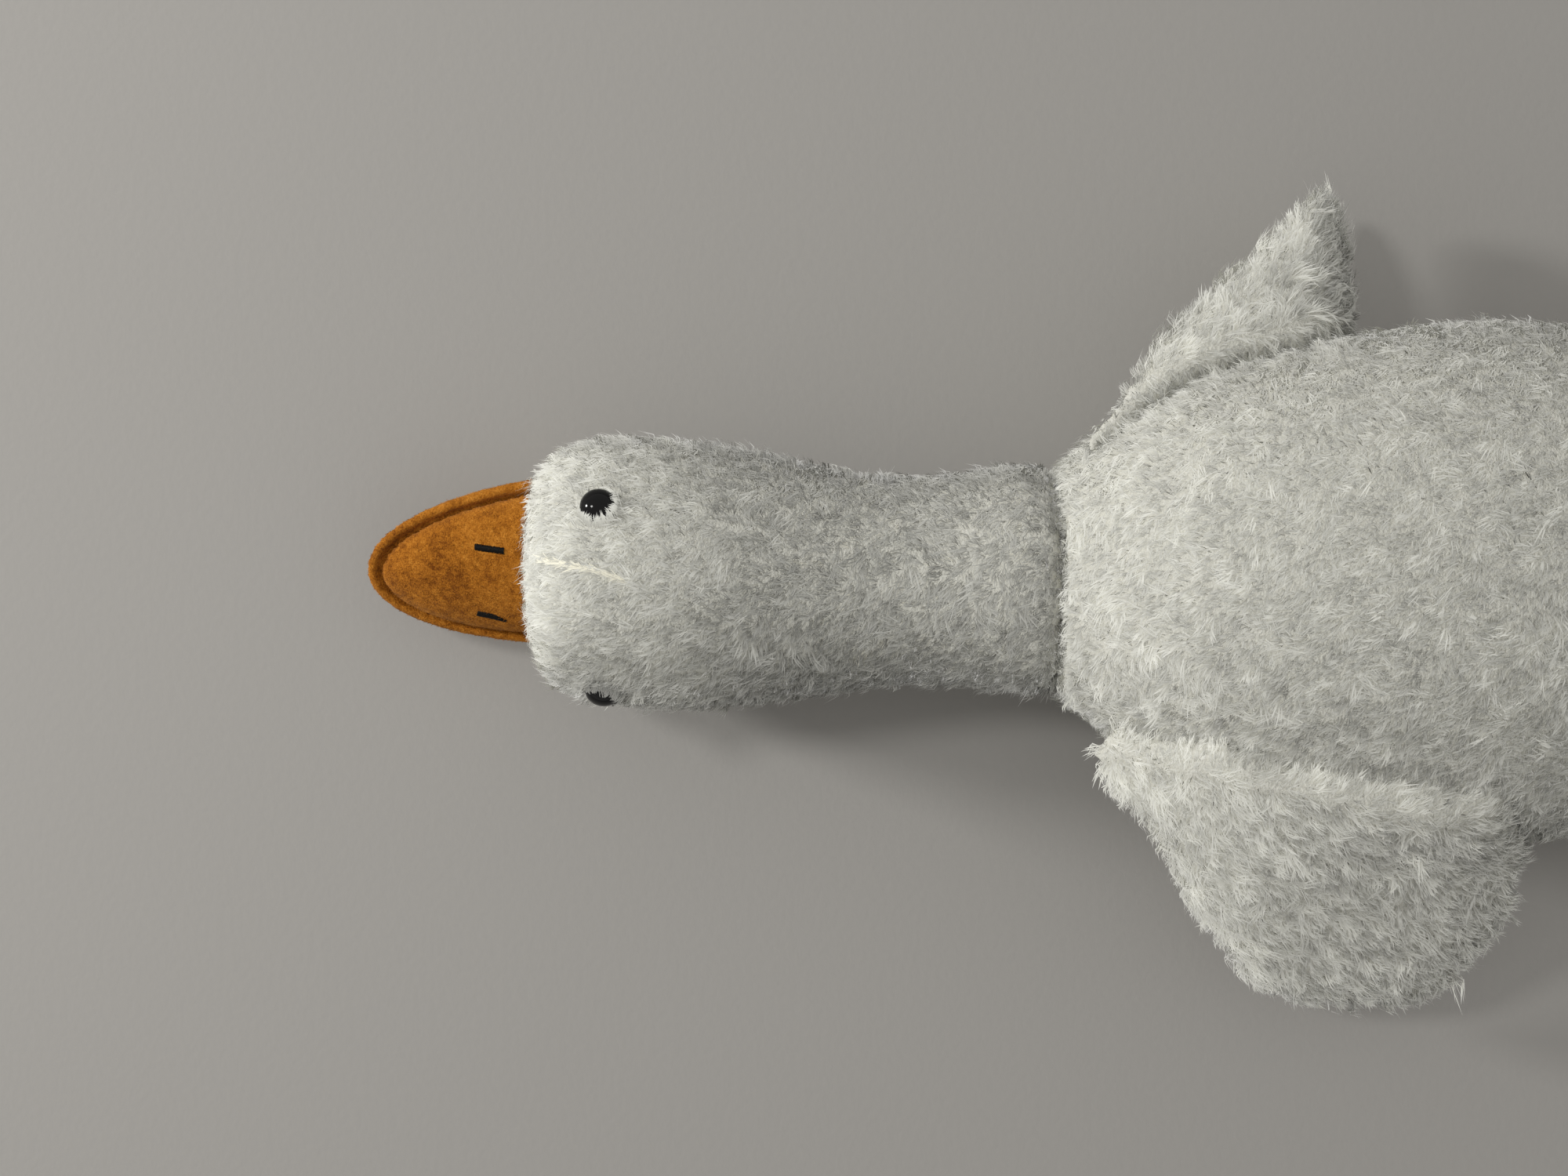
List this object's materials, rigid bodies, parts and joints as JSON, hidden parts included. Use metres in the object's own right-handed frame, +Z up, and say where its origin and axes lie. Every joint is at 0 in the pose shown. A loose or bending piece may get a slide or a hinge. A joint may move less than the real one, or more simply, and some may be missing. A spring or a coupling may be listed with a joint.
{
  "type": "plush goose",
  "caption": "Long-necked stuffed white goose toy lying on its belly, with spread wings, orange fabric beak and webbed feet, and black button eyes.",
  "frame": {"origin": "middle of the flat patch of the belly that the goose lies on", "axes": "+Z up, -Y towards the tip of the beak, +X towards the goose's left wing"},
  "size_m": [0.3901, 0.7036, 0.1706],
  "materials": {
    "plush_white": "curly short-pile plush",
    "beak_orange": "brushed short-nap velour",
    "eye_black": "polished",
    "thread_black": "satin stitch",
    "washer_white": "moulded"
  },
  "bodies": {
    "root": {"body": "plush_white", "head_and_neck": "plush_white", "wing_left": "plush_white", "wing_right": "plush_white", "beak_upper": "beak_orange", "beak_lower": "beak_orange", "nostril_left": "thread_black", "nostril_right": "thread_black", "eye_left": "eye_black", "eye_right": "eye_black", "eye_washer_left": "washer_white", "eye_washer_right": "washer_white", "foot_left": "beak_orange", "foot_right": "beak_orange"}
  },
  "joints": []
}
